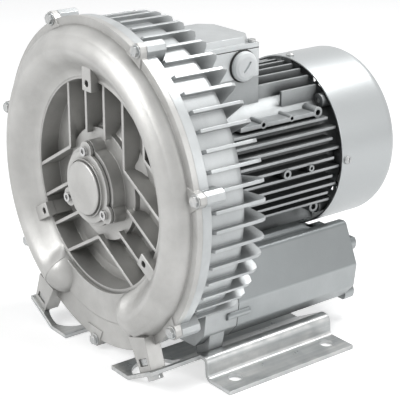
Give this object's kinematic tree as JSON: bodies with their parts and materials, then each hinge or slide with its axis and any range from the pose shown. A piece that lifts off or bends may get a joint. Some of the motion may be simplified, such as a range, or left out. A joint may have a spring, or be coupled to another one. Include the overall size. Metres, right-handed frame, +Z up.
{
  "type": "side channel blower",
  "caption": "Single-stage side channel blower: cast casing and ribbed cover, finned motor with terminal box and fan cowl, twin silencers under the motor, folded sheet feet.",
  "frame": {"origin": "on the floor, at the centre of the four foot bolt holes", "axes": "+Z up, Y along the shaft with the motor towards +Y, X across"},
  "size_m": [0.326, 0.3278, 0.328],
  "materials": {
    "cast_cover": "satin",
    "cast_casing": "satin",
    "cast_duct": "matte",
    "motor_casting": "satin",
    "painted_cowl": "satin",
    "zinc_sheet": "satin",
    "zinc_screw": "satin",
    "bearing_steel": "polished",
    "shaft_steel": "machined",
    "laminations": "matte",
    "copper_winding": "varnished",
    "gasket_fibre": "matte",
    "seal_rubber": "matte",
    "fan_plastic": "matte",
    "plug_plastic": "satin",
    "block_plastic": "matte",
    "foam": "open cell foam"
  },
  "bodies": {
    "stator": {"bearing_cap": "cast_cover", "bearing_cap_gasket": "gasket_fibre", "bearing_cap_screws": "bearing_steel", "blanking_plug_left": "plug_plastic", "blanking_plug_right": "plug_plastic", "cover_screws": "zinc_screw", "earth_screw": "zinc_screw", "end_shield_screws": "zinc_screw", "fan_cover": "painted_cowl", "fan_cover_screws": "zinc_screw", "foot_bolts": "zinc_screw", "foot_left": "zinc_sheet", "foot_nuts": "zinc_screw", "foot_right": "zinc_sheet", "front_bearing_outer_ring": "bearing_steel", "front_cover": "cast_cover", "front_shaft_seal": "seal_rubber", "motor_fixing_screws": "zinc_screw", "motor_frame": "motor_casting", "plug_seals": "seal_rubber", "port_flange_left": "cast_duct", "port_flange_right": "cast_duct", "port_flange_screws": "zinc_screw", "rear_bearing_outer_ring": "bearing_steel", "rear_casing": "cast_casing", "rear_end_shield": "motor_casting", "rear_shaft_seal": "seal_rubber", "silencer_foam_left": "foam", "silencer_foam_right": "foam", "silencer_gasket_left": "gasket_fibre", "silencer_gasket_right": "gasket_fibre", "silencer_left": "cast_duct", "silencer_mesh_left": "zinc_sheet", "silencer_mesh_right": "zinc_sheet", "silencer_right": "cast_duct", "stator_core": "laminations", "stator_windings": "copper_winding", "terminal_block": "block_plastic", "terminal_box": "motor_casting", "terminal_lid": "motor_casting", "terminal_lid_gasket": "seal_rubber", "terminal_lid_screws": "zinc_screw", "terminal_studs": "copper_winding", "wave_spring": "shaft_steel"},
    "rotor": {"shaft": "shaft_steel", "rotor_core": "laminations", "impeller": "cast_casing", "impeller_key": "shaft_steel", "impeller_retaining_ring": "shaft_steel", "front_bearing_inner_ring": "bearing_steel", "rear_bearing_inner_ring": "bearing_steel", "cooling_fan": "fan_plastic", "fan_retaining_clip": "shaft_steel"},
    "front_cage": {"front_bearing_cage": "shaft_steel", "front_bearing_balls": "bearing_steel"},
    "rear_cage": {"rear_bearing_cage": "shaft_steel", "rear_bearing_balls": "bearing_steel"}
  },
  "joints": [
    {"name": "rotor_spin", "type": "hinge", "parent": "stator", "child": "rotor", "pos_m": [0, 0, 0.17], "axis": [0, 1, 0], "continuous": true},
    {"name": "front_cage_spin", "type": "hinge", "parent": "stator", "child": "front_cage", "pos_m": [0, 0, 0.17], "axis": [0, 1, 0], "continuous": true},
    {"name": "rear_cage_spin", "type": "hinge", "parent": "stator", "child": "rear_cage", "pos_m": [0, 0, 0.17], "axis": [0, 1, 0], "continuous": true}
  ],
  "couplings": [
    {"joint": "front_cage_spin", "follows": "rotor_spin", "ratio": 0.3974},
    {"joint": "rear_cage_spin", "follows": "rotor_spin", "ratio": 0.3821}
  ]
}
